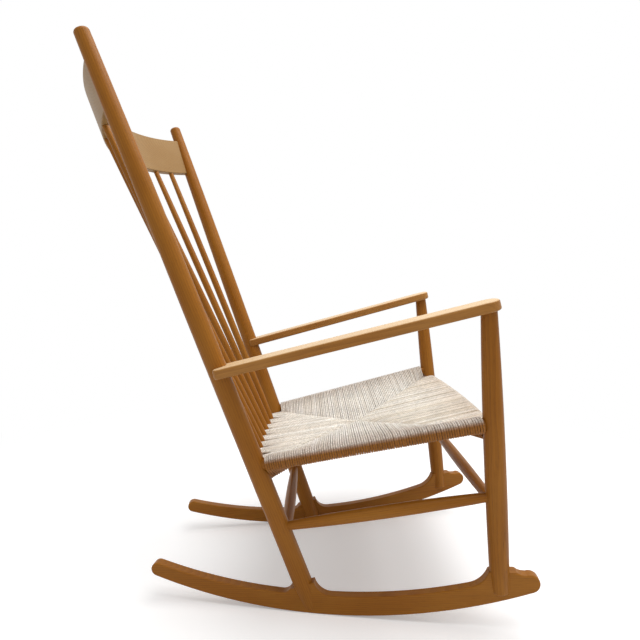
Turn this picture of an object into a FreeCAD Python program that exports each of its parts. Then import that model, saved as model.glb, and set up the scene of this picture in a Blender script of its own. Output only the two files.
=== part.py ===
import FreeCAD
import Part
import math
import os

# Wooden rocking chair with a spindle back and a woven cord seat. Millimetres.
# +Z is up, the sitter faces -Y and the sitter's left is +X.
# Each left-hand piece is built first, and its right-hand partner is its mirror image.

# Back legs: straight axes that lean back and spread towards the top
back_leg_height = 1066
back_leg_floor_spread = 358.5
back_leg_top_spread = 541.9
back_leg_floor_y = 10.7
back_leg_top_y = 392.2
back_leg_foot_height = 8
back_leg_slot_height = 55
back_leg_foot_d = 38
back_leg_max_d = 37.6
back_leg_shoulder_d = 36.5
back_leg_neck_d = 30.6
back_leg_top_d = 26.6
back_leg_max_share = 0.33
back_leg_shoulder_share = 0.6
back_leg_neck_share = 0.87

# Front legs: they reach the underside of the arms
front_leg_floor_spread = 463
front_leg_arm_spread = 573
front_leg_floor_y = -347.7
front_leg_arm_y = -288.8
front_leg_foot_height = 73
front_leg_slot_height = 113
front_leg_foot_d = 34.6
front_leg_max_d = 38.2
front_leg_neck_d = 32.2
front_leg_top_d = 26.8
front_leg_max_share = 0.38
front_leg_neck_share = 0.83
foot_round = 3
back_leg_top_round = 6
front_leg_top_round = 2

# Rockers: upright boards that the feet straddle
rocker_thickness = 21
rocker_radius = 1100
rocker_low_y = 6
rocker_back_offset = 4.5
rocker_front_offset = -1.5
rocker_depth = 38
rocker_tail_depth = 27.5
rocker_tail_root_depth = 35
rocker_nose_depth = 35
rocker_tail_length = 280
rocker_nose_length = 32
boss_width = 49.5
boss_run = 34
rear_boss_run = 20
front_boss_shift = 5
nose_run = 13
rocker_round = 3

# Arms: flat boards that rise to the front
arm_front_height = 617.5
arm_back_height = 492.6
arm_thickness = 18.6
arm_back_width = 60
arm_front_width = 58
arm_front_overhang = 18
arm_back_outer_offset = 36
arm_front_outer_offset = 26
arm_end_round = 12
arm_nose_round = 24
arm_edge_round = 4
arm_leg_gap = 0.3
arm_back_reach = 3.4
arm_tenon_d = 16
arm_tenon_length = 11
arm_dowel_d = 8
arm_dowel_length = 38
arm_dowel_wall = 8

# Crest: a bowed board held in slots in the back legs
crest_drop = 79.5
crest_height = 91
crest_thickness = 14
crest_bow = 79
crest_set_back = 4
crest_end_reach = 5
crest_round = 2
crest_pin_d = 5
crest_pin_length = 20

# Seat frame: the heights are those of the side rails' centre lines at the legs, and the
# front and back rails lie lower by their drops
seat_front_height = 402
seat_back_height = 302
front_rail_drop = 28.5
back_rail_drop = 17
rail_height = 20
rail_width = 22
rail_round = 7
rail_tenon_d = 14
front_rail_bow = 10
back_rail_bow = 10

# Back spindles
spindle_count = 7
spindle_foot_pitch = 44
spindle_head_pitch = 76.6
spindle_head_closing_share = 0.0135
spindle_foot_d = 15.6
spindle_max_d = 16.8
spindle_head_d = 11.4
spindle_max_share = 0.3
spindle_foot_tenon_d = 11
spindle_foot_tenon_length = 15
spindle_head_tenon_d = 7.5
spindle_head_tenon_length = 18

# Stretchers: heights of the axes at the legs
front_stretcher_height = 240
back_stretcher_height = 148
side_stretcher_front_height = 263
side_stretcher_back_height = 175
stretcher_end_d = 17.5
stretcher_middle_d = 25

# Woven seat: cord wound over the rails, dished towards the middle
cord_d = 4.2
weave_gap = 0.4
seat_dish = 31
seat_belly = 21
weave_web_drop = 2
web_steps = 8
web_corner_steepness = 6

# Fits
glue_gap = 0.1
tenon_past_axis = 5
tenon_wall = 1.5
overrun = 4

ALONG_X = FreeCAD.Vector(1, 0, 0)
ALONG_Y = FreeCAD.Vector(0, 1, 0)
ALONG_Z = FreeCAD.Vector(0, 0, 1)
ORIGIN = FreeCAD.Vector(0, 0, 0)


def vec(x, y, z):
    return FreeCAD.Vector(x, y, z)


def unit(v):
    return v * (1 / v.Length)


def at_height(axis, height):
    """Point of a leg's axis at a height above the floor."""
    low, high = axis
    return low + (high - low) * ((height - low.z) / (high.z - low.z))


def mirrored(shape):
    return shape.mirror(ORIGIN, ALONG_X)


def rod(start, end, diameter):
    return Part.makeCylinder(diameter / 2, (end - start).Length, start, end - start)


def hole(start, end, diameter):
    """Round mortise for a tenon of this diameter, a glue gap wider."""
    return rod(start, end, diameter + 2 * glue_gap)


def placed(shape, start, direction, seam=0):
    """Moves a shape that stands on the origin along +Z, turned by seam degrees about it."""
    turn = FreeCAD.Rotation(ALONG_Z, direction).multiply(FreeCAD.Rotation(ALONG_Z, seam))
    shape.Placement = FreeCAD.Placement(start, turn)
    return shape


def corner_arc(start, centre, end):
    """Quarter arc between two points about a centre."""
    radius = (start - centre).Length
    middle = centre + unit((start - centre) + (end - centre)) * radius
    return Part.Arc(start, middle, end).toShape()


def turned(foot, head, stations, low_round=0, high_round=0, grow=0, seam=0):
    """Solid of revolution from foot to head through (share of the length, diameter) stations."""
    length = (head - foot).Length
    low_r = stations[0][1] / 2 + grow
    high_r = stations[-1][1] / 2 + grow
    curve = [vec(low_r, 0, low_round)]
    curve += [vec(d / 2 + grow, 0, share * length) for share, d in stations[1:-1]]
    curve += [vec(high_r, 0, length - high_round)]
    spline = Part.BSplineCurve()
    spline.interpolate(curve)
    axis_low = vec(0, 0, 0)
    axis_high = vec(0, 0, length)
    edges = []
    inner = vec(low_r - low_round, 0, 0)
    edges.append(Part.makeLine(axis_low, inner))
    if low_round:
        edges.append(corner_arc(inner, vec(low_r - low_round, 0, low_round), curve[0]))
    edges.append(spline.toShape())
    inner = vec(high_r - high_round, 0, length)
    if high_round:
        edges.append(corner_arc(curve[-1], vec(high_r - high_round, 0, length - high_round), inner))
    edges.append(Part.makeLine(inner, axis_high))
    edges.append(Part.makeLine(axis_high, axis_low))
    face = Part.Face(Part.Wire(edges))
    return placed(face.revolve(ORIGIN, ALONG_Z, 360), foot, head - foot, seam)


# Legs

back_axis = (
    vec(back_leg_floor_spread / 2, back_leg_floor_y, 0),
    vec(back_leg_top_spread / 2, back_leg_top_y, back_leg_height),
)
front_axis = (
    vec(front_leg_floor_spread / 2, front_leg_floor_y, 0),
    vec(front_leg_arm_spread / 2, front_leg_arm_y, arm_front_height),
)
back_stations = [
    (0, back_leg_foot_d),
    (back_leg_max_share, back_leg_max_d),
    (back_leg_shoulder_share, back_leg_shoulder_d),
    (back_leg_neck_share, back_leg_neck_d),
    (1, back_leg_top_d),
]
front_stations = [
    (0, front_leg_foot_d),
    (front_leg_max_share, front_leg_max_d),
    (front_leg_neck_share, front_leg_neck_d),
    (1, front_leg_top_d),
]
# Degrees that turn a leg's closing line away from the rails that end in it
back_leg_seam = 45
front_leg_seam = 315


def back_leg_blank(grow=0):
    foot = at_height(back_axis, back_leg_foot_height)
    rounds = (foot_round, back_leg_top_round)
    return turned(foot, back_axis[1], back_stations, *rounds, grow, back_leg_seam)


def front_leg_blank(grow=0):
    foot = at_height(front_axis, front_leg_foot_height)
    rounds = (foot_round, front_leg_top_round)
    return turned(foot, front_axis[1], front_stations, *rounds, grow, front_leg_seam)


# Rockers: upright boards, placed sideways from both leg axes at half the slots' depths

rocker_back_point = (
    at_height(back_axis, (back_leg_foot_height + back_leg_slot_height) / 2)
    + ALONG_X * rocker_back_offset
)
rocker_front_point = (
    at_height(front_axis, (front_leg_foot_height + front_leg_slot_height) / 2)
    + ALONG_X * rocker_front_offset
)
rocker_forward = unit(
    vec(
        rocker_front_point.x - rocker_back_point.x,
        rocker_front_point.y - rocker_back_point.y,
        0,
    )
)
rocker_low_point = vec(
    rocker_back_point.x
    + rocker_forward.x * (rocker_low_y - rocker_back_point.y) / rocker_forward.y,
    rocker_low_y,
    0,
)
rocker_side = rocker_forward.cross(ALONG_Z)


def in_rocker(along, height):
    """Point of the rocker's middle plane, along from its low point and above the floor."""
    return rocker_low_point + rocker_forward * along + ALONG_Z * height


def along_rocker(point):
    return (point - rocker_low_point).dot(rocker_forward)


def arc_height(along, radius):
    return rocker_radius - math.sqrt(radius * radius - along * along)


def boss_corners(axis, slot_height, shift=0):
    """Rear and front ends of the shoulder that the leg stands on, square to the leg."""
    centre = at_height(axis, slot_height)
    lean = axis[1] - axis[0]
    lean_along = lean.dot(rocker_forward)
    across = unit(vec(lean.z, -lean_along, 0))
    middle = along_rocker(centre)
    rear_half = boss_width / 2 - shift
    front_half = boss_width / 2 + shift
    rear = (middle - rear_half * across.x, slot_height - rear_half * across.y)
    front = (middle + front_half * across.x, slot_height + front_half * across.y)
    return rear, front


def hollow(corner, foot, slope):
    """Concave arc from a boss corner to a foot point, where it meets a line of that slope."""
    tangent = unit(vec(1, slope, 0))
    normal = vec(-tangent.y, tangent.x, 0)
    gap = vec(corner[0] - foot[0], corner[1] - foot[1], 0)
    radius = gap.dot(gap) / (2 * gap.dot(normal))
    centre = vec(foot[0], foot[1], 0) + normal * radius
    to_corner = vec(corner[0], corner[1], 0) - centre
    to_foot = vec(foot[0], foot[1], 0) - centre
    middle = centre + unit(to_corner + to_foot) * radius
    return (middle.x, middle.y)


def inside_point(along, depth):
    """Point at a depth above the bottom arc, square to it."""
    tilt = math.asin(along / rocker_radius)
    low = arc_height(along, rocker_radius)
    return (along - depth * math.sin(tilt), low + depth * math.cos(tilt))


def round_end(low, high, way):
    """Middle of the half circle that ends the board between its lower and upper edge."""
    half = math.dist(low, high) / 2
    up = unit(vec(high[0] - low[0], high[1] - low[1], 0))
    return (
        (low[0] + high[0]) / 2 + way * half * up.y,
        (low[1] + high[1]) / 2 - way * half * up.x,
    )


def rocker_outline():
    """Edges of the outline, counted from the low point, as two or three points each."""
    inner = rocker_radius - rocker_depth
    rear_boss, rear_boss_front = boss_corners(back_axis, back_leg_slot_height)
    front_boss_rear, front_boss = boss_corners(
        front_axis, front_leg_slot_height, front_boss_shift
    )
    tail_end = rear_boss[0] - rocker_tail_length
    nose_end = front_boss[0] + rocker_nose_length
    tail_low = inside_point(tail_end, 0)
    tail_top = inside_point(tail_end, rocker_tail_depth)
    nose_low = inside_point(nose_end, 0)
    nose_top = inside_point(nose_end, rocker_nose_depth)
    nose_foot = (front_boss[0] + nose_run, nose_top[1])
    front_foot_along = front_boss_rear[0] - boss_run
    front_foot = (front_foot_along, arc_height(front_foot_along, inner))
    middle_foot_along = rear_boss_front[0] + boss_run
    middle_foot = (middle_foot_along, arc_height(middle_foot_along, inner))
    rear_foot = inside_point(rear_boss[0] - rear_boss_run, rocker_tail_root_depth)
    rear_slope = rear_foot[0] / rocker_radius
    middle_along = (front_foot_along + middle_foot_along) / 2
    tail_along = (rear_foot[0] + tail_end) / 2
    tail_middle = inside_point(tail_along, (rocker_tail_root_depth + rocker_tail_depth) / 2)
    return [
        [tail_low, (0, 0), nose_low],
        [nose_low, round_end(nose_low, nose_top, 1), nose_top],
        [nose_top, nose_foot],
        [nose_foot, hollow(front_boss, nose_foot, 0), front_boss],
        [front_boss, front_boss_rear],
        [
            front_boss_rear,
            hollow(front_boss_rear, front_foot, front_foot_along / inner),
            front_foot,
        ],
        [front_foot, (middle_along, arc_height(middle_along, inner)), middle_foot],
        [
            middle_foot,
            hollow(rear_boss_front, middle_foot, middle_foot_along / inner),
            rear_boss_front,
        ],
        [rear_boss_front, rear_boss],
        [rear_boss, hollow(rear_boss, rear_foot, rear_slope), rear_foot],
        [rear_foot, tail_middle, tail_top],
        [tail_top, round_end(tail_low, tail_top, -1), tail_low],
    ]


def board_edge(points):
    """Line through two points or arc through three, on one face of the rocker board."""
    face = rocker_side * (-rocker_thickness / 2)
    spots = [in_rocker(*p) + face for p in points]
    if len(spots) == 2:
        return Part.makeLine(*spots)
    return Part.Arc(*spots).toShape()


def rocker():
    outline = rocker_outline()
    wire = Part.Wire([board_edge(points) for points in outline])
    board = Part.Face(wire).extrude(rocker_side * rocker_thickness)
    square = [4, 8]
    long_edges = []
    for i, points in enumerate(outline):
        if i in square:
            continue
        middle = points[len(points) // 2] if len(points) == 3 else (
            (points[0][0] + points[1][0]) / 2,
            (points[0][1] + points[1][1]) / 2,
        )
        for way in (-1, 1):
            spot = in_rocker(*middle) + rocker_side * (way * rocker_thickness / 2)
            near = Part.Vertex(spot)
            long_edges.append(min(board.Edges, key=lambda e: e.distToShape(near)[0]))
    return board.makeFillet(rocker_round, long_edges)


def foot_slot(axis, slot_height, foot_height):
    """Slot that lets a foot straddle the rocker, closed by the boss's shoulder."""
    rear, front = boss_corners(axis, slot_height)
    rise = (front[1] - rear[1]) / (front[0] - rear[0])
    reach = boss_width
    low = foot_height - overrun - reach
    corners = [
        (rear[0] - reach, rear[1] - reach * rise),
        (front[0] + reach, front[1] + reach * rise),
        (front[0] + reach, low),
        (rear[0] - reach, low),
    ]
    corners.append(corners[0])
    edges = [board_edge(pair) for pair in zip(corners[:-1], corners[1:])]
    return Part.Face(Part.Wire(edges)).extrude(rocker_side * rocker_thickness)


# Arms: built in their own plane, x to the left, y to the back and z square to the top face

arm_front_top = at_height(front_axis, arm_front_height)
arm_back_top = at_height(back_axis, arm_back_height)
arm_run = math.hypot(arm_back_top.y - arm_front_top.y, arm_front_height - arm_back_height)
arm_slope = math.atan2(arm_front_height - arm_back_height, arm_back_top.y - arm_front_top.y)


arm_frame = FreeCAD.Placement(
    vec(0, arm_back_top.y, arm_back_top.z),
    FreeCAD.Rotation(ALONG_X, -math.degrees(arm_slope)),
)


def in_arm(shape):
    shape.Placement = arm_frame
    return shape


def upright_edges(board):
    """Edges that run through the board's thickness."""
    return [e for e in board.Edges if len(e.Vertexes) == 2 and e.BoundBox.ZLength > arm_thickness / 2]


def arm_blank():
    """The board with its rounded corners, from behind the back leg to past the front leg."""
    front_y = -arm_run - arm_front_overhang
    back_out = arm_back_top.x + arm_back_outer_offset
    front_out = arm_front_top.x + arm_front_outer_offset
    corners = [
        vec(back_out - arm_back_width, arm_back_reach, 0),
        vec(back_out, arm_back_reach, 0),
        vec(front_out, front_y, 0),
        vec(front_out - arm_front_width, front_y, 0),
    ]
    wire = Part.makePolygon(corners + corners[:1])
    board = Part.Face(wire).extrude(vec(0, 0, -arm_thickness))
    nose = [e for e in upright_edges(board) if e.CenterOfMass.y < front_y / 2]
    board = board.makeFillet(arm_nose_round, nose)
    heel = [e for e in upright_edges(board) if e.CenterOfMass.y > arm_back_reach - arm_end_round / 2]
    board = board.makeFillet(arm_end_round, heel)
    rims = [e for e in board.Edges if e.BoundBox.ZLength < glue_gap]
    return in_arm(board.makeFillet(arm_edge_round, rims))


def arm_notch():
    """Clears the arm behind the front of the back leg, on the inner side of the leg's axis."""
    reach = arm_back_width
    block = Part.makeBox(reach, reach, reach, vec(arm_back_top.x - reach, 0, -reach / 2))
    return in_arm(block)


def arm_underside():
    """Half space below the arm's underside, as a large block."""
    reach = back_leg_height
    block = Part.makeBox(
        2 * reach, 2 * reach, reach, vec(0, -3 * reach / 2, -arm_thickness - reach)
    )
    return in_arm(block)


def arm_dowel_ends():
    """Ends of the dowel that ties the arm to the outer side of the back leg."""
    outer = arm_back_top.x + arm_back_outer_offset - arm_dowel_wall
    middle = -arm_thickness / 2
    inner = vec(outer - arm_dowel_length, -arm_dowel_d, middle)
    return [arm_frame.multVec(inner), arm_frame.multVec(vec(outer, -arm_dowel_d, middle))]


def arm_tenon_ends():
    """The front leg's tenon, from just inside the leg up into the arm."""
    lean = unit(front_axis[1] - front_axis[0])
    under = arm_front_top - lean * arm_thickness
    return under - lean * overrun, under + lean * arm_tenon_length


# Crest: an arc square to the back legs' lean, with its ends in the legs

crest_centre = at_height(back_axis, back_leg_height - crest_drop)
back_lean = unit(vec(0, back_axis[1].y - back_axis[0].y, back_axis[1].z - back_axis[0].z))
crest_back = unit(vec(0, back_lean.z, -back_lean.y))
crest_half = crest_centre.x
crest_radius = (crest_half * crest_half + crest_bow * crest_bow) / (2 * crest_bow)
crest_hub = (
    vec(0, crest_centre.y, crest_centre.z)
    + crest_back * (crest_set_back + crest_bow - crest_radius)
)


def crest_spot(across, radius):
    """Point of the crest's middle height on an arc about its hub, at that share of the radius."""
    angle = math.asin(across / crest_radius)
    return crest_hub + ALONG_X * (radius * math.sin(angle)) + crest_back * (radius * math.cos(angle))


def crest_blank(grow=0):
    """The bowed board, its ends a little past the legs' axes."""
    half = crest_half + crest_end_reach + grow
    rise = crest_height / 2 + grow
    front = crest_radius - crest_thickness / 2 - grow
    back = crest_radius + crest_thickness / 2 + grow
    low = back_lean * (-rise)
    edges = [
        Part.Arc(crest_spot(-half, front), crest_spot(0, front), crest_spot(half, front)).toShape(),
        Part.makeLine(crest_spot(half, front), crest_spot(half, back)),
        Part.Arc(crest_spot(half, back), crest_spot(0, back), crest_spot(-half, back)).toShape(),
        Part.makeLine(crest_spot(-half, back), crest_spot(-half, front)),
    ]
    face = Part.Face(Part.Wire(edges))
    face.translate(low)
    board = face.extrude(back_lean * (2 * rise))
    if grow:
        return board
    long_edges = [e for e in board.Edges if e.Length > crest_half]
    return board.makeFillet(crest_round, long_edges)


def crest_pin_ends():
    """Ends of the pin that crosses the crest's end inside the leg."""
    middle = vec(crest_half, crest_centre.y, crest_centre.z) + crest_back * crest_set_back / 2
    half = crest_back * (crest_pin_length / 2)
    return middle - half, middle + half


# Seat frame: built flat, with y to the back from the back legs' axes, then sloped

seat_front_corner = at_height(front_axis, seat_front_height)
seat_back_corner = at_height(back_axis, seat_back_height)
seat_run = math.hypot(
    seat_back_corner.y - seat_front_corner.y, seat_front_height - seat_back_height
)
seat_slope = math.atan2(
    seat_front_height - seat_back_height, seat_back_corner.y - seat_front_corner.y
)
front_rail_corner = at_height(front_axis, seat_front_height - front_rail_drop)
back_rail_corner = at_height(back_axis, seat_back_height - back_rail_drop)


def sloped_at(corner):
    """Placement with the seat's slope, its origin level with a corner in the middle of the seat."""
    turn = FreeCAD.Rotation(ALONG_X, -math.degrees(seat_slope))
    return FreeCAD.Placement(vec(0, corner.y, corner.z), turn)


seat_frame = sloped_at(seat_back_corner)


def in_seat(shape):
    """Slopes a shape, on top of a placement of its own."""
    shape.Placement = seat_frame.multiply(shape.Placement)
    return shape


def bow_radius(corner, bow):
    return (corner.x * corner.x + bow * bow) / (2 * bow)


def cross_bar(corner, bow, way, grow=0):
    """Front or back rail between the leg axes, bowed in the direction of way, -1 for the front.
    Its faces are spline surfaces, which keep so slight a bow true when they are meshed."""
    radius = bow_radius(corner, bow)
    hub = vec(0, way * (bow - radius), 0)
    half = rail_width / 2 + grow
    rise = rail_height / 2 + grow

    def spot(across, r):
        angle = math.asin(across / radius)
        return hub + vec(r * math.sin(angle), way * r * math.cos(angle), -rise)

    def arc(r, first):
        return Part.Arc(*[spot(s * corner.x, r) for s in (first, 0, -first)]).toShape()

    edges = [
        arc(radius - half, -1),
        Part.makeLine(spot(corner.x, radius - half), spot(corner.x, radius + half)),
        arc(radius + half, 1),
        Part.makeLine(spot(-corner.x, radius + half), spot(-corner.x, radius - half)),
    ]
    bar = Part.Face(Part.Wire(edges)).extrude(vec(0, 0, 2 * rise))
    long_edges = [e for e in bar.Edges if e.Length > corner.x]
    bar = bar.makeFillet(rail_round + grow, long_edges)
    bar.Placement = sloped_at(corner)
    return bar.toNurbs()


def front_bar(grow=0):
    return cross_bar(front_rail_corner, front_rail_bow, -1, grow)


def back_bar(grow=0):
    return cross_bar(back_rail_corner, back_rail_bow, 1, grow)


def side_bar(grow=0):
    """Left side rail, from one leg's axis to the other's."""
    start = vec(seat_back_corner.x, 0, 0)
    end = vec(seat_front_corner.x, -seat_run, 0)
    length = (end - start).Length
    half = rail_width / 2 + grow
    rise = rail_height / 2 + grow
    bar = Part.makeBox(2 * half, length, 2 * rise, vec(-half, 0, -rise))
    long_edges = [e for e in bar.Edges if e.Length > length - overrun]
    bar = bar.makeFillet(rail_round + grow, long_edges)
    bar.Placement = FreeCAD.Placement(start, FreeCAD.Rotation(ALONG_Y, end - start))
    return in_seat(bar)


def sloped_web(sag, level):
    """Dished face over the rails: level at the side rails, at the other two as low as they
    lie, and sag lower in the middle."""
    to_seat = seat_frame.inverse()
    back = to_seat.multVec(back_rail_corner)
    front = to_seat.multVec(front_rail_corner)
    rows = []
    for i in range(web_steps + 1):
        v = i / web_steps
        middle = back + (front - back) * v
        middle.z = back.z * (1 - v) * (1 - 2 * v) + front.z * v * (2 * v - 1) - sag * 4 * v * (1 - v)
        steepness = 2 + web_corner_steepness * (2 * v - 1) ** 2
        row = []
        for j in range(web_steps + 1):
            u = 2 * j / web_steps - 1
            row.append(vec(middle.x * u, middle.y, level + middle.z * (1 - abs(u) ** steepness)))
        rows.append(row)
    surface = Part.BSplineSurface()
    surface.interpolate(rows)
    return in_seat(surface.toShape())


# Spindles

crest_foot = back_lean * (-crest_height / 2)


def spindle_ends(index):
    """Foot on the back rail's centre line and head on the crest's lower edge, where the
    heads stand closer together towards the legs."""
    place = index - (spindle_count - 1) / 2
    across = place * spindle_foot_pitch
    radius = bow_radius(back_rail_corner, back_rail_bow)
    y = back_rail_bow - radius + math.sqrt(radius * radius - across * across)
    foot = sloped_at(back_rail_corner).multVec(vec(across, y, rail_height / 2))
    closing = 1 - spindle_head_closing_share * place * place
    head = crest_spot(place * spindle_head_pitch * closing, crest_radius) + crest_foot
    return foot, head


def spindle_blank(index, grow=0):
    foot, head = spindle_ends(index)
    way = unit(head - foot)
    stations = [
        (0, spindle_foot_d),
        (spindle_max_share, spindle_max_d),
        (1, spindle_head_d),
    ]
    low = foot - way * (rail_round / 2)
    return turned(low, head + way * crest_round, stations, 0, 0, grow)


def spindle_tenons(index):
    """(start, end, diameter) of the foot tenon and of the head tenon."""
    foot, head = spindle_ends(index)
    way = unit(head - foot)
    low = foot - way * spindle_foot_tenon_length
    high = head + way * spindle_head_tenon_length
    return [
        (low, foot + way * overrun, spindle_foot_tenon_d),
        (head - way * overrun, high, spindle_head_tenon_d),
    ]


# Stretchers

def swelled_rod(start, end, bare_start, bare_end):
    """Turned rod between two mortises, swelling between the two bare lengths."""
    way = unit(end - start)
    length = (end - start).Length
    r = stretcher_end_d / 2
    spots = [
        vec(0, 0, 0),
        vec(r, 0, 0),
        vec(r, 0, bare_start),
        vec(stretcher_middle_d / 2, 0, length / 2),
        vec(r, 0, length - bare_end),
        vec(r, 0, length),
        vec(0, 0, length),
    ]
    edges = [
        Part.makeLine(spots[0], spots[1]),
        Part.makeLine(spots[1], spots[2]),
        Part.Arc(spots[2], spots[3], spots[4]).toShape(),
        Part.makeLine(spots[4], spots[5]),
        Part.makeLine(spots[5], spots[6]),
        Part.makeLine(spots[6], spots[0]),
    ]
    face = Part.Face(Part.Wire(edges))
    return placed(face.revolve(ORIGIN, ALONG_Z, 360), start, way)


def cross_stretcher(axis, height):
    """Stretcher from leg to leg, its tenons a little past the legs' axes."""
    end = at_height(axis, height) + ALONG_X * tenon_past_axis
    bare = tenon_past_axis + back_leg_max_d / 2
    return swelled_rod(vec(-end.x, end.y, end.z), end, bare, bare)


side_stop = stretcher_end_d / 2 + tenon_wall
side_back = at_height(back_axis, side_stretcher_back_height)
side_front = at_height(front_axis, side_stretcher_front_height)
side_way = unit(side_front - side_back)
side_start = side_back + side_way * side_stop
side_end = side_front - side_way * side_stop
side_bare = back_leg_max_d / 2 - side_stop


def side_stretcher():
    return swelled_rod(side_start, side_end, side_bare, side_bare)


# Tenons of the seat rails, (start, end, diameter)

rail_stop = rail_tenon_d / 2 + tenon_wall
rail_bare = back_leg_max_d / 2 + overrun


def cross_rail_tenon(corner):
    return (
        corner - ALONG_X * rail_bare,
        corner + ALONG_X * tenon_past_axis,
        rail_tenon_d,
    )


rail_way = unit(seat_front_corner - seat_back_corner)
side_rail_tenons = [
    (
        seat_back_corner + rail_way * rail_stop,
        seat_back_corner + rail_way * rail_bare,
        rail_tenon_d,
    ),
    (
        seat_front_corner - rail_way * rail_bare,
        seat_front_corner - rail_way * rail_stop,
        rail_tenon_d,
    ),
]


def both(tenon):
    """A tenon and its mirror image."""
    start, end, d = tenon
    return [tenon, (vec(-start.x, start.y, start.z), vec(-end.x, end.y, end.z), d)]


# Pieces

def make_back_leg():
    leg = back_leg_blank()
    stretcher_end = at_height(back_axis, back_stretcher_height)
    cutters = [
        foot_slot(back_axis, back_leg_slot_height, back_leg_foot_height),
        hole(*cross_rail_tenon(back_rail_corner)),
        hole(*side_rail_tenons[0]),
        hole(stretcher_end - ALONG_X * back_leg_max_d,
             stretcher_end + ALONG_X * tenon_past_axis, stretcher_end_d),
        hole(side_start, side_start + side_way * back_leg_max_d, stretcher_end_d),
        hole(*arm_dowel_ends(), arm_dowel_d),
        hole(*crest_pin_ends(), crest_pin_d),
        crest_blank(glue_gap),
    ]
    return leg.cut(cutters)


def make_front_leg():
    leg = front_leg_blank().common(arm_underside())
    leg = leg.fuse(rod(*arm_tenon_ends(), arm_tenon_d))
    stretcher_end = at_height(front_axis, front_stretcher_height)
    cutters = [
        foot_slot(front_axis, front_leg_slot_height, front_leg_foot_height),
        hole(*cross_rail_tenon(front_rail_corner)),
        hole(*side_rail_tenons[1]),
        hole(stretcher_end - ALONG_X * front_leg_max_d,
             stretcher_end + ALONG_X * tenon_past_axis, stretcher_end_d),
        hole(side_end - side_way * front_leg_max_d, side_end, stretcher_end_d),
    ]
    return leg.cut(cutters)


def make_arm():
    cutters = [
        arm_notch(),
        back_leg_blank(arm_leg_gap),
        hole(*arm_dowel_ends(), arm_dowel_d),
        hole(*arm_tenon_ends(), arm_tenon_d),
    ]
    return arm_blank().cut(cutters)


def make_crest():
    board = crest_blank()
    pin = hole(*crest_pin_ends(), crest_pin_d)
    cutters = [pin, mirrored(pin)]
    cutters += [hole(*spindle_tenons(i)[1]) for i in range(spindle_count)]
    return board.cut(cutters)


def make_cross_rail(bar, corner, leg):
    """Front or back rail: a bowed bar scribed to both legs, with a round tenon at each end."""
    bar = bar.cut([leg, mirrored(leg)])
    return bar.fuse([rod(*tenon) for tenon in both(cross_rail_tenon(corner))]).removeSplitter()


def make_front_rail():
    return make_cross_rail(front_bar(), front_rail_corner, front_leg_blank(glue_gap))


def make_back_rail():
    bar = make_cross_rail(back_bar(), back_rail_corner, back_leg_blank(glue_gap))
    return bar.cut([hole(*spindle_tenons(i)[0]) for i in range(spindle_count)])


def make_side_rail():
    bar = side_bar().cut([back_leg_blank(glue_gap), front_leg_blank(glue_gap)])
    return bar.fuse([rod(*tenon) for tenon in side_rail_tenons]).removeSplitter()


def make_spindle(index, rail, crest):
    body = spindle_blank(index).cut([rail, crest])
    body = max(body.Solids, key=lambda solid: solid.Volume)
    return body.fuse([rod(*tenon) for tenon in spindle_tenons(index)])


def make_seat():
    """The woven seat as one closed body around the rails."""
    over = cord_d + weave_gap
    side_wrap = side_bar(over)
    wraps = [front_bar(over), side_wrap, mirrored(side_wrap)]
    level = rail_height / 2 + over - weave_web_drop
    top = sloped_web(seat_dish, level)
    bottom = sloped_web(seat_belly, -level)
    depth = ALONG_Z * back_leg_height
    web = top.extrude(-depth).common(bottom.extrude(depth))
    body = back_bar(over).fuse(wraps + [web])
    channel = side_bar(weave_gap)
    legs = [back_leg_blank(weave_gap), front_leg_blank(weave_gap)]
    cutters = [front_bar(weave_gap), back_bar(weave_gap), channel, mirrored(channel)]
    cutters += legs + [mirrored(leg) for leg in legs]
    cutters += [spindle_blank(i, weave_gap) for i in range(spindle_count)]
    return max(body.cut(cutters).Solids, key=lambda solid: solid.Volume)


def build():
    pieces = {}

    def pair(name, shape):
        pieces["left_" + name] = shape
        pieces["right_" + name] = mirrored(shape)

    pair("rocker", rocker())
    pair("back_leg", make_back_leg())
    pair("front_leg", make_front_leg())
    pair("arm", make_arm())
    pair("seat_rail", make_side_rail())
    pair("side_stretcher", side_stretcher())
    pieces["front_seat_rail"] = make_front_rail()
    pieces["back_seat_rail"] = make_back_rail()
    pieces["crest_rail"] = make_crest()
    pieces["front_stretcher"] = cross_stretcher(front_axis, front_stretcher_height)
    pieces["back_stretcher"] = cross_stretcher(back_axis, back_stretcher_height)
    for i in range(spindle_count):
        pieces[f"spindle_{i + 1}"] = make_spindle(
            i, pieces["back_seat_rail"], pieces["crest_rail"]
        )
    pieces["woven_seat"] = make_seat()
    dowel = rod(*arm_dowel_ends(), arm_dowel_d)
    pieces["arm_dowels"] = Part.makeCompound([dowel, mirrored(dowel)])
    pin = rod(*crest_pin_ends(), crest_pin_d)
    pieces["crest_pins"] = Part.makeCompound([pin, mirrored(pin)])
    return pieces


def main():
    os.makedirs("parts", exist_ok=True)
    pieces = build()
    whole = FreeCAD.BoundBox()
    for shape in pieces.values():
        whole.add(shape.optimalBoundingBox(False, False))
    shift = vec(-whole.Center.x, -whole.Center.y, -whole.ZMin)
    for name, shape in pieces.items():
        shape.translate(shift)
        shape.exportStep(f"parts/{name}.step")


main()
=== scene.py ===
import math
import random

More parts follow.
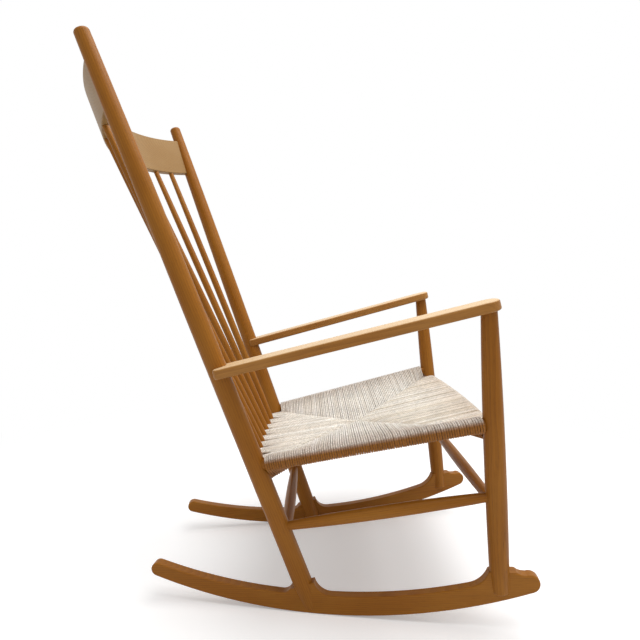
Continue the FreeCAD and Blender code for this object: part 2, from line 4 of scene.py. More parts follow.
import bpy
import numpy as np
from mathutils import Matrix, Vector


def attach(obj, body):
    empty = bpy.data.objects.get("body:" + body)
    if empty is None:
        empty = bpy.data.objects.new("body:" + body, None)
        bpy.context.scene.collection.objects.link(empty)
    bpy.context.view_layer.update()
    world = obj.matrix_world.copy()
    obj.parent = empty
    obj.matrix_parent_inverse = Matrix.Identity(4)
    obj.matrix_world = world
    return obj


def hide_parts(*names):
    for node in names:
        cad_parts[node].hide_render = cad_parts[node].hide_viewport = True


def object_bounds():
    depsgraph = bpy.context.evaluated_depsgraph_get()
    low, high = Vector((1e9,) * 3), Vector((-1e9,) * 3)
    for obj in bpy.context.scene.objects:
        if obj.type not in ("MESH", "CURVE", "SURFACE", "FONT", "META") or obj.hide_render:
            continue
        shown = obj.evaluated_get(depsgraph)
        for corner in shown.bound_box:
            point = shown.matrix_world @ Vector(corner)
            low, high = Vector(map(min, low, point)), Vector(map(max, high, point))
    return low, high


# Wooden rocking chair with a spindle back and a woven cord seat. Metres, in the frame of the parts.
# +Z is up, the sitter faces -Y and the sitter's left is +X.

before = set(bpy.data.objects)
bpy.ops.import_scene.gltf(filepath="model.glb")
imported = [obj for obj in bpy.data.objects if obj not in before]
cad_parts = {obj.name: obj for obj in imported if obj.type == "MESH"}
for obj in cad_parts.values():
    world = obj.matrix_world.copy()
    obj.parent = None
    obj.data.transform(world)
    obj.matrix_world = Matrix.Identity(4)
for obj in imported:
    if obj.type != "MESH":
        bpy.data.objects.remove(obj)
cad_low, cad_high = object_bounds()
dice = random.Random(7)

MM = 0.001
ALONG_X = Vector((1, 0, 0))
ALONG_Z = Vector((0, 0, 1))

# Camera
camera_place = Vector((-1.1307, -0.0264, 0.65007))
camera_yaw_deg = 0.217
camera_pitch_deg = 4.419
camera_lens = 28.08
camera_sensor_width = 36
camera_clip_start = 0.05

# Light and floor
ambient_strength = 0.53
top_light_power = 60
top_light_size = 2.2
top_light_place = Vector((-0.1, -0.55, 2.6))
floor_size = 12
floor_albedo = 0.88
floor_glow = 0.25
floor_fade_start = 0.75
floor_fade_end = 1.6

# Seat rails: where their tenons end beside the seat's corners, their bow and their section
side_tenon_short = 8.5 * MM
cross_tenon_past = 5 * MM
tenon_end_depth = 4 * MM
back_rail_bow = 10 * MM
front_rail_bow = 10 * MM
rail_half_width = 11 * MM
rail_half_height = 10 * MM
rail_round = 7 * MM

# Cord: diameter, gap to a rail, spacing, and faces round it
cord_d = 4.05 * MM
cord_gap = 0.3 * MM
cord_pitch = 4.4 * MM
cord_sides = 8

# Seams as (across, run), and how far the two layers dip from the side rails to the middle.
# The belly shares are of a cross rail's drop below the side rails, for the lower layer beside its legs.
seam_corner_back = (186 * MM, 20 * MM)
seam_corner_front = (248 * MM, 421 * MM)
seam_meeting_run = 207 * MM
seat_dish = 31 * MM
seat_belly = 21 * MM
front_belly_share = 0.4
back_belly_share = 1.5

# Points along one cord, as shares, and steps of the rounded corners
upper_shares = (0.08, 0.35, 0.65, 0.9)
lower_shares = (0.15, 0.5, 0.9)
inner_top_steps = 3
outer_top_steps = 4
outer_low_steps = 3
inner_low_steps = 2

# A cord's ends dive into the seam. The shares are of the dive's run and depth, and the last one is of
# the cord's diameter, kept off the middle between the two layers.
dive_depth = 7 * MM
dive_run = 5 * MM
upper_dive_shares = ((-0.4, 1), (0.3, 0.35))
lower_dive_shares = (-0.2, 0.5)
dive_apart_share = 0.1

# Unevenness of the cords
most_shift = 0.3 * MM
most_lift = 0.25 * MM
lift_fade_run = 40 * MM

# Painted shade on the cords, and the least and most share of the bright tone in the cords of each side
top_painted_shade = 0.2
top_painted_shade_run = 80 * MM
outer_painted_shade_start_share = 0.9
outer_painted_shade_run = 6 * MM
back_painted_shade_share = 0.45
# Painted light and shade: the side cords are set lighter and the front cords darker, standing in for the
# light they get.
side_lit_tones = (0.65, 1)
back_tones = (0.35, 1)
front_shaded_tones = (0.15, 0.95)

# Back cords, bundled between the spindles' feet, where every other cord lies higher. They are squeezed
# in full up to a share of the wrap's half width inward of the rail's axis, then less and less.
spindle_pitch = 44 * MM
spindle_gap = 27.8 * MM
spindle_count = 7
outer_spindle = spindle_pitch * (spindle_count - 1) / 2
bundle_inset = 0.35 * cord_d
bundle_narrowing_share = 0.30
side_narrowing_share = 0.08
bundle_up = 0.6 * MM
bundle_down = 0.3 * MM
squeeze_run = 28 * MM
full_squeeze_share = 0.2

# Front cords, in groups whose first cord lies lower
group_size = 4
group_pinch = 0.24 * MM
group_drop = 1.5 * MM
least_drop_share = 0.35

# Packing between the layers
filling_steps = 32
filling_inset = 6 * MM
filling_cover = 0.9 * cord_d


def clamped(value):
    return min(max(value, 0), 1)


def new_object(name, data):
    piece = bpy.data.objects.new(name, data)
    bpy.context.scene.collection.objects.link(piece)
    return piece


# Nodes of the materials

def add_node(tree, kind, **settings):
    node = tree.nodes.new(kind)
    for key, value in settings.items():
        setattr(node, key, value)
    return node


def feed(tree, socket, value):
    """Links a socket to another node's output, or sets its own value."""
    if isinstance(value, bpy.types.NodeSocket):
        tree.links.new(value, socket)
    else:
        socket.default_value = value


def feed_all(tree, node, values):
    """Feeds several sockets of a node, given by their names."""
    for name, value in values.items():
        feed(tree, node.inputs[name], value)


def calc(tree, operation, first, second=None, clamp=False):
    node = add_node(tree, "ShaderNodeMath", operation=operation, use_clamp=clamp)
    feed(tree, node.inputs[0], first)
    if second is not None:
        feed(tree, node.inputs[1], second)
    return node.outputs[0]


def vector_calc(tree, operation, first, second):
    node = add_node(tree, "ShaderNodeVectorMath", operation=operation)
    feed(tree, node.inputs[0], first)
    feed(tree, node.inputs[1], second)
    return node.outputs[0]


def noise(tree, place, scale, detail=3, roughness=0.5):
    """Noise whose scale may differ along the three axes."""
    node = add_node(tree, "ShaderNodeTexNoise")
    feed_all(tree, node, {
        "Vector": vector_calc(tree, "MULTIPLY", place, scale),
        "Scale": 1,
        "Detail": detail,
        "Roughness": roughness,
    })
    return node.outputs["Fac"]


def spread(tree, value, low, high, to_low=0, to_high=1):
    """Smooth step from to_low to to_high while the value goes from low to high."""
    node = add_node(tree, "ShaderNodeMapRange", interpolation_type="SMOOTHSTEP")
    feed_all(tree, node, {
        "Value": value,
        "From Min": low,
        "From Max": high,
        "To Min": to_low,
        "To Max": to_high,
    })
    return node.outputs["Result"]


def mix_colour(tree, factor, first, second, blend="MIX"):
    node = add_node(tree, "ShaderNodeMix", data_type="RGBA", blend_type=blend)
    feed(tree, node.inputs[0], factor)
    feed(tree, node.inputs[6], first)
    feed(tree, node.inputs[7], second)
    return node.outputs[2]


def grey(tree, value):
    node = add_node(tree, "ShaderNodeCombineColor")
    for socket in node.inputs:
        feed(tree, socket, value)
    return node.outputs[0]


def shade(tree, tint, share):
    """A colour made darker or lighter by a share that varies over the surface."""
    return mix_colour(tree, 1, tint, grey(tree, share), "MULTIPLY")


def add_bump(tree, shader, height, strength, distance):
    bump = add_node(tree, "ShaderNodeBump")
    feed_all(tree, bump, {"Height": height, "Strength": strength, "Distance": distance})
    feed(tree, shader.inputs["Normal"], bump.outputs["Normal"])


def colour(red, green, blue):
    """Linear colour of an 8-bit display colour."""
    def linear(value):
        share = value / 255
        return share / 12.92 if share <= 0.04045 else ((share + 0.055) / 1.055) ** 2.4
    return (linear(red), linear(green), linear(blue), 1)


def new_material(name):
    material = bpy.data.materials.new(name)
    material.use_nodes = True
    tree = material.node_tree
    return material, tree, tree.nodes["Principled BSDF"]


# How rough the fine patterns are, and the middle of a pattern's values
fine_roughness = 0.6
noise_middle = 0.5

# Wood: the tones are a light, a dark, a pale and a pore colour
frame_tones = (colour(148, 91, 22), colour(116, 66, 13), colour(168, 114, 42), colour(70, 39, 13))
# Painted light: the arms and the crest take lighter, paler copies of the frame's tones, as if more
# brightly lit.
arm_lit_tones = (colour(158, 105, 46), colour(126, 78, 28), colour(182, 133, 74), colour(84, 50, 22))
crest_lit_tones = (colour(151, 117, 73), colour(129, 95, 53), colour(167, 137, 95), colour(92, 63, 36))
# Painted highlight: a pale tone laid on the upward faces of the arms, as if lit from above.
top_highlight_tone = colour(228, 200, 158)
arm_top_highlight = 0.75
wood_specular = 0.14
wood_coat = 0.05
wood_coat_roughness = 0.3
wood_ior = 1.5

# Place of a piece in its log: distance from the pith, and shift along the grain
nearest_pith = 30 * MM
furthest_pith = 80 * MM
furthest_shift = 3

# Scales of the wood's patterns, with the grain along the third axis, and how strongly they show
sway_scale = (14, 14, 2.2)
sway_depth = 12 * MM
ring_stretch = (1, 1, 0.02)
ring_scale = 78
ring_distortion = 2.2
ring_detail_scale = 0.5
fibre_scale = (900, 900, 14)
pore_scale = (1500, 1500, 48)
blotch_scale = (16, 16, 5)
ring_share = 0.35
pore_share = 0.4
least_pore_share = 0.3
fibre_height_share = 0.4
wood_bump = 0.12
wood_bump_distance = 0.4 * MM

# Spans for spread, as (low, high) and what these become
ring_span = (0.05, 0.95)
pore_span = (0.60, 0.72)
pale_span = (0.3, 0.75, 0, 0.4)
streak_span = (0.2, 0.8, 0.88, 1.1)
highlight_streak_span = (0.2, 0.8, 0.9, 1.05)
highlight_patch_span = (0.2, 0.6, 0.75, 1)
upward_span = (0.45, 0.95)
wood_roughness_span = (0.2, 0.8, 0.36, 0.50)


def wood_material(name, axis, place, tones, top_highlight=0):
    """Oiled wood whose grain runs along an axis through a place, from four tones, with a painted
    highlight that makes faces looking upward paler.
    """
    light, dark, pale, pore = tones
    material, tree, shader = new_material(name)
    coords = add_node(tree, "ShaderNodeTexCoord")
    angle = dice.uniform(0, 2 * math.pi)
    pith = dice.uniform(nearest_pith, furthest_pith)
    shift = dice.uniform(0, furthest_shift)
    mapping = add_node(tree, "ShaderNodeMapping", vector_type="POINT")
    feed_all(tree, mapping, {
        "Vector": vector_calc(tree, "SUBTRACT", coords.outputs["Object"], place),
        "Rotation": axis.rotation_difference(ALONG_Z).to_euler(),
        "Location": (pith * math.cos(angle), pith * math.sin(angle), shift),
    })
    grain = mapping.outputs["Vector"]

    sway = calc(tree, "SUBTRACT", noise(tree, grain, sway_scale, 2), noise_middle)
    sway = calc(tree, "MULTIPLY", sway, sway_depth)
    ring_place = vector_calc(tree, "ADD", grain, grey(tree, sway))
    rings = add_node(tree, "ShaderNodeTexWave", wave_type="RINGS", wave_profile="SAW")
    rings.rings_direction = "Z"
    feed_all(tree, rings, {
        "Vector": vector_calc(tree, "MULTIPLY", ring_place, ring_stretch),
        "Scale": ring_scale,
        "Distortion": ring_distortion,
        "Detail": 2,
        "Detail Scale": ring_detail_scale,
    })
    ring = spread(tree, rings.outputs["Fac"], *ring_span)

    fibre = noise(tree, grain, fibre_scale, 3, fine_roughness)
    blotch = noise(tree, grain, blotch_scale, 3)
    pores = spread(tree, noise(tree, grain, pore_scale, 1), *pore_span)
    porous = calc(tree, "MULTIPLY", ring, 1 - least_pore_share)
    pores = calc(tree, "MULTIPLY", pores, calc(tree, "ADD", porous, least_pore_share))

    tint = mix_colour(tree, calc(tree, "MULTIPLY", ring, ring_share), light, dark)
    tint = mix_colour(tree, spread(tree, blotch, *pale_span), tint, pale)
    tint = shade(tree, tint, spread(tree, fibre, *streak_span))
    # Painted highlight: faces that look upward turn paler in patches and streaks, as if lit from above.
    if top_highlight:
        facing = add_node(tree, "ShaderNodeSeparateXYZ")
        feed(tree, facing.inputs[0], coords.outputs["Normal"])
        upward = calc(tree, "MULTIPLY", spread(tree, facing.outputs[2], *upward_span), top_highlight)
        patches = calc(tree, "MULTIPLY", upward, spread(tree, blotch, *highlight_patch_span))
        highlighted = shade(tree, top_highlight_tone, spread(tree, fibre, *highlight_streak_span))
        tint = mix_colour(tree, patches, tint, highlighted)
    feed_all(tree, shader, {
        "Base Color": mix_colour(tree, calc(tree, "MULTIPLY", pores, pore_share), tint, pore),
        "Roughness": spread(tree, fibre, *wood_roughness_span),
        "Specular IOR Level": wood_specular,
        "Coat Weight": wood_coat,
        "Coat Roughness": wood_coat_roughness,
        "IOR": wood_ior,
    })
    height = calc(tree, "SUBTRACT", calc(tree, "MULTIPLY", fibre, fibre_height_share), pores)
    add_bump(tree, shader, height, wood_bump, wood_bump_distance)
    return material


def long_axis(mesh):
    """Centre and direction of the greatest extent of a piece."""
    points = np.empty(len(mesh.vertices) * 3)
    mesh.vertices.foreach_get("co", points)
    points = points.reshape(-1, 3)
    centre = points.mean(axis=0)
    spreads, directions = np.linalg.eigh(np.cov((points - centre).T))
    return Vector(centre), Vector(directions[:, int(np.argmax(spreads))])


def dress_frame():
    """Gives each wooden node its own wood, with the grain along the piece."""
    for name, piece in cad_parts.items():
        if name == "woven_seat":
            continue
        centre, axis = long_axis(piece.data)
        if name.endswith("_arm"):
            wood = wood_material("wood_" + name, axis, centre, arm_lit_tones, arm_top_highlight)
        else:
            tones = crest_lit_tones if name == "crest_rail" else frame_tones
            wood = wood_material("wood_" + name, axis, centre, tones)
        for slot in piece.material_slots:
            slot.material = wood


# Seat: its plane is read from the left seat rail, with run counted from the back corners

def rail_end(node, axis, way):
    """Centre of the round tenon at one end of a rail."""
    points = [v.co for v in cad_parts[node].data.vertices]
    edge = max(way * p[axis] for p in points)
    end = [p for p in points if way * p[axis] > edge - tenon_end_depth]
    return Vector([(min(p[i] for p in end) + max(p[i] for p in end)) / 2 for i in range(3)])


rail_back_end = rail_end("left_seat_rail", 1, 1)
rail_front_end = rail_end("left_seat_rail", 1, -1)
rail_way = (rail_front_end - rail_back_end).normalized()
back_corner = rail_back_end - rail_way * side_tenon_short
front_corner = rail_front_end + rail_way * side_tenon_short
seat_origin = Vector((0, back_corner.y, back_corner.z))
seat_forward = Vector((0, front_corner.y - back_corner.y, front_corner.z - back_corner.z))
seat_run = seat_forward.length
seat_forward.normalize()
seat_up = seat_forward.cross(ALONG_X)

# Section of the wrap: the axis of a cord that goes round a rail
wrap_half_width = rail_half_width + cord_gap + cord_d / 2
wrap_half_height = rail_half_height + cord_gap + cord_d / 2
wrap_round = rail_round + cord_gap + cord_d / 2
core_half_width = wrap_half_width - wrap_round
core_half_height = wrap_half_height - wrap_round


def seat_point(across, run, rise):
    return seat_origin + ALONG_X * across + seat_forward * run + seat_up * rise


def rail_across(run):
    """Distance of a side rail's axis from the middle of the seat."""
    return back_corner.x + (front_corner.x - back_corner.x) * run / seat_run


class CrossRail:
    """Front or back rail, lower than the side rails, and the seams that end beside its legs.

    way is 1 for the front rail and -1 for the back rail, and share runs from the corner to the middle.
    """

    def __init__(self, node, way, bow, seam_corner, belly_share):
        end = rail_end(node, 0, 1)
        offset = end - seat_origin
        self.half = end.x - cross_tenon_past
        self.run = offset.dot(seat_forward)
        self.rise = offset.dot(seat_up)
        self.way = way
        self.bow = bow
        self.seam_across, self.seam_run = seam_corner
        self.belly_rise = self.rise * belly_share
        self.cord_count = int(2 * self.seam_across / cord_pitch)

    def run_at(self, across):
        """Run of the bowed rail's axis."""
        return self.run + self.way * self.bow * (1 - (across / self.half) ** 2)

    def seam_levels(self, share):
        """Heights of the upper and the lower layer at a share of the seam."""
        top = self.rise + (-seat_dish - self.rise) * share
        low = self.belly_rise + (-seat_belly - self.belly_rise) * share
        return top + wrap_half_height, low - wrap_half_height

    def seam_at(self, across):
        """(run of the seam, its share) at a distance from the middle of the seat."""
        share = 1 - min(abs(across) / self.seam_across, 1)
        return self.seam_run + (seam_meeting_run - self.seam_run) * share, share


front_rail = CrossRail("front_seat_rail", 1, front_rail_bow, seam_corner_front, front_belly_share)
back_rail = CrossRail("back_seat_rail", -1, back_rail_bow, seam_corner_back, back_belly_share)


def nearer_rail(run):
    return back_rail if run < seam_meeting_run else front_rail


def side_seam(run):
    """(distance of the seam from the middle of the seat, its share) at a run."""
    rail = nearer_rail(run)
    share = clamped((run - rail.seam_run) / (seam_meeting_run - rail.seam_run))
    return rail.seam_across * (1 - share), share


def arc(centre, start, end, steps):
    """Points of a rounded corner of the wrap, between two angles."""
    angles = [start + (end - start) * i / steps for i in range(steps + 1)]
    return [
        (centre[0] + wrap_round * math.cos(a), centre[1] + wrap_round * math.sin(a)) for a in angles
    ]


def taut(seam, centre, way):
    """(tangent point, slope) of a taut cord from the seam to a rounded corner of the wrap."""
    gap = (centre[0] - seam[0], centre[1] - seam[1])
    distance = math.hypot(*gap)
    reach = math.sqrt(max(distance ** 2 - wrap_round ** 2, 0))
    slope = math.atan2(gap[1], gap[0]) + way * math.asin(min(wrap_round / distance, 1))
    return (seam[0] + reach * math.cos(slope), seam[1] + reach * math.sin(slope)), slope


def between(first, second, shares):
    return [
        (first[0] + (second[0] - first[0]) * s, first[1] + (second[1] - first[1]) * s) for s in shares
    ]


def cord_path(length, top, low):
    """One cord, taut from the seam over the rail and back, as (outward, up) from the rail's axis.

    length is the seam's distance from the axis, top and low are the seam's heights. The path comes in
    three stretches: the upper layer, the wrap round the rail and the lower layer.
    """
    quarter = math.pi / 2
    inner_top = (-core_half_width, core_half_height)
    outer_top = (core_half_width, core_half_height)
    outer_low = (core_half_width, -core_half_height)
    inner_low = (-core_half_width, -core_half_height)
    steep = low < -wrap_half_height
    over, over_slope = taut((-length, top), inner_top, 1)
    under, under_slope = taut((-length, low), outer_low if steep else inner_low, -1)
    turn = under_slope - quarter

    dive = min(dive_depth, (top - low) / 2 - cord_d * dive_apart_share)
    upper = [(-length + run * dive_run, top - fall * dive) for run, fall in upper_dive_shares]
    upper += between((-length, top), over, upper_shares)
    wrap = arc(inner_top, quarter + max(over_slope, 0), quarter, inner_top_steps)
    wrap += arc(outer_top, quarter, 0, outer_top_steps)
    wrap += arc(outer_low, 0, turn if steep else -quarter, outer_low_steps)
    if not steep:
        wrap += arc(inner_low, -quarter, min(turn, -quarter), inner_low_steps)
    lower = between(under, (-length, low), lower_shares)
    lower.append((-length + lower_dive_shares[0] * dive_run, low + lower_dive_shares[1] * dive))
    return {"upper": upper, "wrap": wrap, "lower": lower}


class Tubes:
    """Closed tubes in one mesh, with length and girth as UVs, and a tone and a share of painted shade at
    each point.
    """

    def __init__(self, sides):
        self.sides = sides
        self.verts = []
        self.faces = []
        self.uvs = []
        self.tones = []
        self.painted_shades = []

    def add(self, centres, lateral, widths, tone, painted_shades):
        """centres: points of the axis; lateral: sideways unit vector; widths: shares of the diameter."""
        first = len(self.verts)
        count = len(centres)
        travelled = 0
        rows = []
        for i, centre in enumerate(centres):
            ahead = centres[min(i + 1, count - 1)]
            behind = centres[max(i - 1, 0)]
            tangent = (ahead - behind).normalized()
            rise = lateral.cross(tangent).normalized()
            side = tangent.cross(rise)
            if i:
                travelled += (centre - centres[i - 1]).length
            rows.append(travelled)
            wide = cord_d / 2 * widths[i]
            tall = cord_d / 2 / math.sqrt(widths[i])
            for k in range(self.sides):
                angle = 2 * math.pi * k / self.sides
                spot = centre + side * (wide * math.cos(angle)) + rise * (tall * math.sin(angle))
                self.verts.append(spot)
                self.tones.append(tone)
                self.painted_shades.append(painted_shades[i])
        n = self.sides
        for i in range(count - 1):
            for k in range(n):
                a = first + i * n + k
                b = first + i * n + (k + 1) % n
                self.faces.append((a, b, b + n, a + n))
                low, high = k / n, (k + 1) / n
                self.uvs += [(rows[i], low), (rows[i], high), (rows[i + 1], high), (rows[i + 1], low)]
        last = first + (count - 1) * n
        self.faces.append(tuple(first + k for k in reversed(range(n))))
        self.faces.append(tuple(last + k for k in range(n)))
        self.uvs += [(0, k / n) for k in reversed(range(n))]
        self.uvs += [(travelled, k / n) for k in range(n)]

    def build(self, name):
        mesh = bpy.data.meshes.new(name)
        mesh.from_pydata([tuple(v) for v in self.verts], [], self.faces)
        layer = mesh.uv_layers.new(name="cord")
        layer.data.foreach_set("uv", [c for uv in self.uvs for c in uv])
        for kind, values in (("tone", self.tones), ("painted_shade", self.painted_shades)):
            attribute = mesh.attributes.new(kind, "FLOAT", "POINT")
            attribute.data.foreach_set("value", values)
        for polygon in mesh.polygons:
            polygon.use_smooth = True
        mesh.update()
        return new_object(name, mesh)


def wobble():
    """Small seeded unevenness of one cord: sideways shift, lift, and share between its two tones."""
    return (
        dice.uniform(-most_shift, most_shift),
        dice.uniform(-most_lift, most_lift),
        dice.uniform(0, 1),
    )


# Painted shade: cords are darker down the rails' outer sides and underneath, where the top light reaches
# less.
def painted_shade_at(stretch, out, up):
    """Painted shade on a cord: faint on top near the rail, more down the rail's outer side, full
    underneath.
    """
    if stretch == "upper":
        return top_painted_shade * max(1 + out / top_painted_shade_run, 0)
    if stretch == "lower":
        return 1
    if out <= 0:
        return top_painted_shade
    return max(clamped((wrap_half_height * outer_painted_shade_start_share - up) / outer_painted_shade_run), top_painted_shade)


def add_cord(tubes, path, to_point, lateral, tones, shade_weight=1):
    """Adds one cord. to_point gives (point, width) for a place of its path and a sideways shift."""
    shift, lift, share = wobble()
    tone = tones[0] + (tones[1] - tones[0]) * share
    centres = []
    widths = []
    painted_shades = []
    for stretch, spots in path.items():
        for out, up in spots:
            centre, width = to_point(out, up + lift * clamped(-out / lift_fade_run), shift)
            centres.append(centre)
            widths.append(width)
            painted_shades.append(shade_weight * painted_shade_at(stretch, out, up))
    tubes.add(centres, lateral, widths, tone, painted_shades)


def side_cords(tubes, side):
    first = back_rail.seam_run
    last = front_rail.seam_run
    count = int((last - first) / cord_pitch)
    for i in range(count):
        run = first + (i + 0.5) * (last - first) / count
        edge = rail_across(run)
        seam, share = side_seam(run)
        top, low = nearer_rail(run).seam_levels(share)

        def to_point(out, up, shift):
            return seat_point(side * (edge + out), run + shift, up), 1

        add_cord(tubes, cord_path(edge - seam, top, low), to_point, seat_forward, side_lit_tones)


def cross_cords(tubes, rail, to_place, tones, shade_weight=1):
    """Cords over the front or back rail.

    to_place gives (across, lift, width) for a cord's number, its place on the seam and its way outward.
    """
    span = 2 * rail.seam_across
    for number in range(rail.cord_count):
        across = -span / 2 + (number + 0.5) * span / rail.cord_count
        seam, share = rail.seam_at(across)
        top, low = rail.seam_levels(share)

        def to_point(out, up, shift):
            place, lift, width = to_place(number, across, out)
            run = rail.run_at(place) + rail.way * out
            return seat_point(place + shift, run, rail.rise + up + lift), width

        length = abs(rail.run_at(across) - seam)
        path = cord_path(length, top - rail.rise, low - rail.rise)
        add_cord(tubes, path, to_point, ALONG_X, tones, shade_weight)


def squeezed(across, out):
    """(across, share of the squeeze) of a back cord, drawn in between the spindles' feet at the rail."""
    pull = 1 - clamped((-out - wrap_half_width * full_squeeze_share) / squeeze_run)
    pull = pull * pull * (3 - 2 * pull)
    if abs(across) < outer_spindle:
        middle = (math.floor(across / spindle_pitch) + 0.5) * spindle_pitch
        share = (spindle_gap - 2 * bundle_inset) / (spindle_pitch - cord_pitch)
        near = middle + (across - middle) * share
    else:
        inner = outer_spindle + (spindle_pitch - spindle_gap) / 2 + bundle_inset
        share = (abs(across) - outer_spindle) / (back_rail.seam_across - outer_spindle)
        near = math.copysign(inner + (back_rail.seam_across - inner) * share, across)
    return across + (near - across) * pull, pull


def back_cords(tubes):
    def to_place(number, across, out):
        place, pull = squeezed(across, out)
        if abs(across) >= outer_spindle:
            return place, 0, 1 - side_narrowing_share * pull
        lift = bundle_up if number % 2 else -bundle_down
        return place, lift * pull, 1 - bundle_narrowing_share * pull

    cross_cords(tubes, back_rail, to_place, back_tones, back_painted_shade_share)


def front_cords(tubes):
    drops = [dice.uniform(least_drop_share, 1) * group_drop for _ in range(front_rail.cord_count)]

    def to_place(number, across, out):
        group, member = divmod(number, group_size)
        pinch = (member - (group_size - 1) / 2) * group_pinch
        return across - pinch, 0 if member else -drops[group], 1

    cross_cords(tubes, front_rail, to_place, front_shaded_tones)


# Cord: its dull and its bright tone, its tone under painted shade, and what darkens the creases as
# painted shade
dull_tone = colour(218, 205, 182)
bright_tone = colour(255, 253, 246)
# Painted shade: the brown a cord takes on the rails' outer sides and underneath.
painted_shade_tone = colour(172, 112, 44)
crease_shade_tone = colour(152, 112, 68)
cord_roughness = 0.62
cord_specular = 0.2
cord_sheen = 0.1
cord_sheen_roughness = 0.5

# Creases between the twisted strands, along a cord and round it
crease_pitch = 3.5 * MM
creases_round = 4
cord_bump = 0.9
cord_bump_distance = 0.6 * MM
fuzz_height_share = 0.3

# Scales of the cord's patterns, and spans for spread
fuzz_scale = (900, 900, 900)
cloud_scale = (22, 22, 22)
speckle_scale = (300, 300, 300)
# The flank and valley spans set how much painted shade a cord takes on its sides and in its creases.
flank_shade_span = (0.7, 1, 0, 0.3)
valley_shade_span = (0, 0.5, 0.9, 0)
cloud_span = (0.25, 0.75, 0.9, 1.05)
speckle_span = (0.36, 0.64, 0.82, 1.16)
fuzz_span = (0.2, 0.8, 0.86, 1.1)


def cord_material():
    """Twisted paper cord, with painted shade in its creases and on its flanks."""
    material, tree, shader = new_material("twisted_cord")
    uv = add_node(tree, "ShaderNodeUVMap", uv_map="cord").outputs["UV"]
    split = add_node(tree, "ShaderNodeSeparateXYZ")
    feed(tree, split.inputs[0], uv)
    length, girth = split.outputs[:2]
    turns = calc(tree, "MULTIPLY", length, math.pi / crease_pitch)
    rounds = calc(tree, "MULTIPLY", girth, math.pi * creases_round)
    lay = calc(tree, "ABSOLUTE", calc(tree, "SINE", calc(tree, "ADD", turns, rounds)))
    # Painted shade: the cord is darkened on its flanks, where it meets its neighbours, and in the
    # valleys of its lay.
    around = calc(tree, "COSINE", calc(tree, "MULTIPLY", girth, 2 * math.pi))
    flank = spread(tree, calc(tree, "ABSOLUTE", around), *flank_shade_span)
    crease = calc(tree, "MAXIMUM", flank, spread(tree, lay, *valley_shade_span))

    place = add_node(tree, "ShaderNodeTexCoord").outputs["Object"]
    fuzz = noise(tree, place, fuzz_scale, 3, fine_roughness)
    cloud = noise(tree, place, cloud_scale, 3)
    speckle = noise(tree, place, speckle_scale, 2, fine_roughness)
    tone = add_node(tree, "ShaderNodeAttribute", attribute_name="tone").outputs["Fac"]
    painted_shade = add_node(tree, "ShaderNodeAttribute", attribute_name="painted_shade").outputs["Fac"]
    tint = mix_colour(tree, tone, dull_tone, bright_tone)
    # Painted shade: the cord turns towards the shaded brown as far as the attribute read here says.
    tint = mix_colour(tree, painted_shade, tint, painted_shade_tone)
    tint = mix_colour(tree, crease, tint, mix_colour(tree, 1, tint, crease_shade_tone, "MULTIPLY"))
    for pattern, span in ((cloud, cloud_span), (speckle, speckle_span), (fuzz, fuzz_span)):
        tint = shade(tree, tint, spread(tree, pattern, *span))
    feed_all(tree, shader, {
        "Base Color": tint,
        "Roughness": cord_roughness,
        "Specular IOR Level": cord_specular,
        "Sheen Weight": cord_sheen,
        "Sheen Roughness": cord_sheen_roughness,
    })
    height = calc(tree, "ADD", lay, calc(tree, "MULTIPLY", fuzz, fuzz_height_share))
    add_bump(tree, shader, height, cord_bump, cord_bump_distance)
    return material


def make_seat():
    tubes = Tubes(cord_sides)
    side_cords(tubes, 1)
    side_cords(tubes, -1)
    back_cords(tubes)
    front_cords(tubes)
    weave = tubes.build("seat_weave")
    weave.data.materials.append(cord_material())
    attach(weave, "root")
    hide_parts("woven_seat")


# Packing inside the seat, its dark brown a painted shade for the gaps between the cords
paper_shade_dark = colour(70, 44, 24)
paper_shade_light = colour(112, 76, 44)
paper_roughness = 0.9
crumple_scale = (60, 60, 60)


def filling_material():
    """Brown paper packed between the two layers of cord, its dark colour painted shade that shows
    through the gaps between the cords.
    """
    material, tree, shader = new_material("paper_filling")
    place = add_node(tree, "ShaderNodeTexCoord").outputs["Object"]
    crumple = noise(tree, place, crumple_scale, 4)
    feed_all(tree, shader, {
        "Base Color": mix_colour(tree, crumple, paper_shade_dark, paper_shade_light),
        "Roughness": paper_roughness,
    })
    return material


def layer_levels(across, run):
    """Heights of the upper and the lower layer of cord at a place of the seat."""
    seam, share = side_seam(run)
    rail = nearer_rail(run)
    if abs(across) > seam:
        way = (rail_across(run) - abs(across)) / (rail_across(run) - seam)
        rail_rise = 0
    else:
        seam, share = rail.seam_at(across)
        way = (rail.run_at(across) - run) / (rail.run_at(across) - seam)
        rail_rise = rail.rise
    way = clamped(way)
    top, low = rail.seam_levels(share)
    rail_top = rail_rise + wrap_half_height
    rail_low = rail_rise - wrap_half_height
    return rail_top + (top - rail_top) * way, rail_low + (low - rail_low) * way


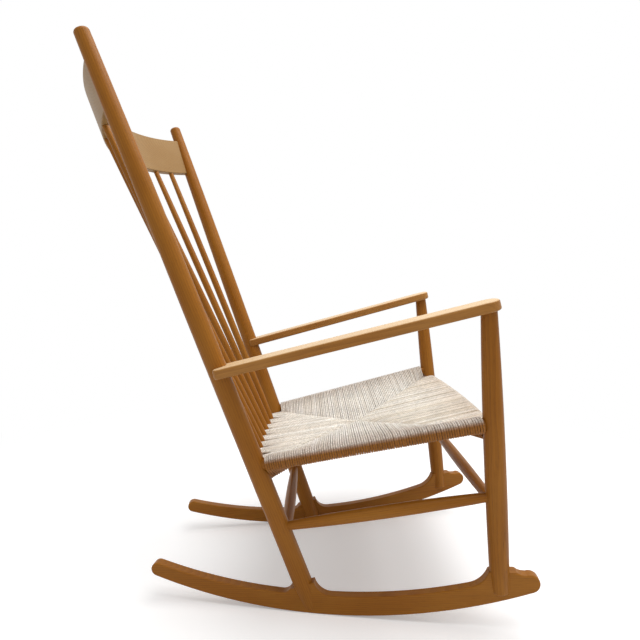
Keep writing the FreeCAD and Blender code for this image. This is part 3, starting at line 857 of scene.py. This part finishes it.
def make_filling():
    """Packing inside the seat, as a closed pad between the layers."""
    steps = filling_steps
    verts = []
    for layer in (1, -1):
        for i in range(steps + 1):
            run = filling_inset + (seat_run - 2 * filling_inset) * i / steps
            edge = rail_across(run) - filling_inset
            for j in range(steps + 1):
                across = edge * (2 * j / steps - 1)
                top, low = layer_levels(across, run)
                rise = top - filling_cover if layer > 0 else low + filling_cover
                verts.append(seat_point(across, run, rise))
    row = steps + 1
    size = row * row
    faces = []
    for i in range(steps):
        for j in range(steps):
            a = i * row + j
            faces.append((a, a + row, a + row + 1, a + 1))
            faces.append((size + a, size + a + 1, size + a + row + 1, size + a + row))
    rim = list(range(row))
    rim += [i * row + steps for i in range(1, row)]
    rim += [steps * row + j for j in reversed(range(steps))]
    rim += [i * row for i in reversed(range(1, steps))]
    for a, b in zip(rim, rim[1:] + rim[:1]):
        faces.append((a, b, size + b, size + a))
    mesh = bpy.data.meshes.new("seat_filling")
    mesh.from_pydata([tuple(v) for v in verts], [], faces)
    mesh.update()
    piece = new_object("seat_filling", mesh)
    piece.data.materials.append(filling_material())
    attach(piece, "root")
    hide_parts("woven_seat")


# Stage

def aim(thing, way):
    """Turns a camera or a lamp so that it looks along a direction."""
    thing.rotation_mode = "QUATERNION"
    thing.rotation_quaternion = way.to_track_quat("-Z", "Y")


def make_camera():
    data = bpy.data.cameras.new("camera")
    data.lens = camera_lens
    data.sensor_width = camera_sensor_width
    data.clip_start = camera_clip_start
    camera = new_object("camera", data)
    yaw = math.radians(camera_yaw_deg)
    pitch = math.radians(camera_pitch_deg)
    camera.location = camera_place
    aim(camera, Vector((
        math.cos(yaw) * math.cos(pitch),
        -math.sin(yaw) * math.cos(pitch),
        -math.sin(pitch),
    )))
    bpy.context.scene.camera = camera


def seen_directly(tree):
    """1 for rays from the camera, and for reflected and transmitted ones."""
    path = add_node(tree, "ShaderNodeLightPath")
    seen = calc(tree, "ADD", path.outputs["Is Camera Ray"], path.outputs["Is Glossy Ray"])
    return calc(tree, "ADD", seen, path.outputs["Is Transmission Ray"], clamp=True)


def make_world():
    """White where it is seen, and plain ambient light elsewhere."""
    world = bpy.data.worlds.new("studio")
    bpy.context.scene.world = world
    world.use_nodes = True
    tree = world.node_tree
    background = tree.nodes["Background"]
    background.inputs["Color"].default_value = (1, 1, 1, 1)
    lift = calc(tree, "MULTIPLY", seen_directly(tree), 1 - ambient_strength)
    feed(tree, background.inputs["Strength"], calc(tree, "ADD", lift, ambient_strength))


def floor_material():
    """Pale floor with a faint glow, which fades to the white background away from the chair."""
    material, tree, shader = new_material("floor")
    feed_all(tree, shader, {
        "Base Color": (floor_albedo, floor_albedo, floor_albedo, 1),
        "Roughness": 1,
        "Specular IOR Level": 0,
    })
    seen = seen_directly(tree)
    centre = (cad_low + cad_high) / 2
    away = add_node(tree, "ShaderNodeVectorMath", operation="DISTANCE")
    feed(tree, away.inputs[0], add_node(tree, "ShaderNodeTexCoord").outputs["Object"])
    feed(tree, away.inputs[1], (centre.x, centre.y, 0))
    fade = spread(tree, away.outputs["Value"], floor_fade_start, floor_fade_end)
    faint = add_node(tree, "ShaderNodeEmission")
    feed(tree, faint.inputs["Strength"], calc(tree, "MULTIPLY", seen, floor_glow))
    lit = add_node(tree, "ShaderNodeAddShader")
    feed(tree, lit.inputs[0], shader.outputs[0])
    feed(tree, lit.inputs[1], faint.outputs[0])
    white = add_node(tree, "ShaderNodeEmission")
    mixed = add_node(tree, "ShaderNodeMixShader")
    feed(tree, mixed.inputs[0], calc(tree, "MULTIPLY", fade, seen))
    feed(tree, mixed.inputs[1], lit.outputs[0])
    feed(tree, mixed.inputs[2], white.outputs[0])
    feed(tree, tree.nodes["Material Output"].inputs["Surface"], mixed.outputs[0])
    return material


def make_floor():
    half = floor_size / 2
    mesh = bpy.data.meshes.new("floor")
    corners = [(-half, -half, 0), (half, -half, 0), (half, half, 0), (-half, half, 0)]
    mesh.from_pydata(corners, [], [(0, 1, 2, 3)])
    floor = new_object("floor", mesh)
    floor.data.materials.append(floor_material())


def make_light():
    data = bpy.data.lights.new("top_light", "AREA")
    data.shape = "SQUARE"
    data.size = top_light_size
    data.energy = top_light_power
    light = new_object("top_light", data)
    light.location = top_light_place
    aim(light, (cad_low + cad_high) / 2 - top_light_place)


bpy.context.scene.view_settings.view_transform = "Standard"
make_camera()
make_world()
make_floor()
make_light()
dress_frame()
make_seat()
make_filling()
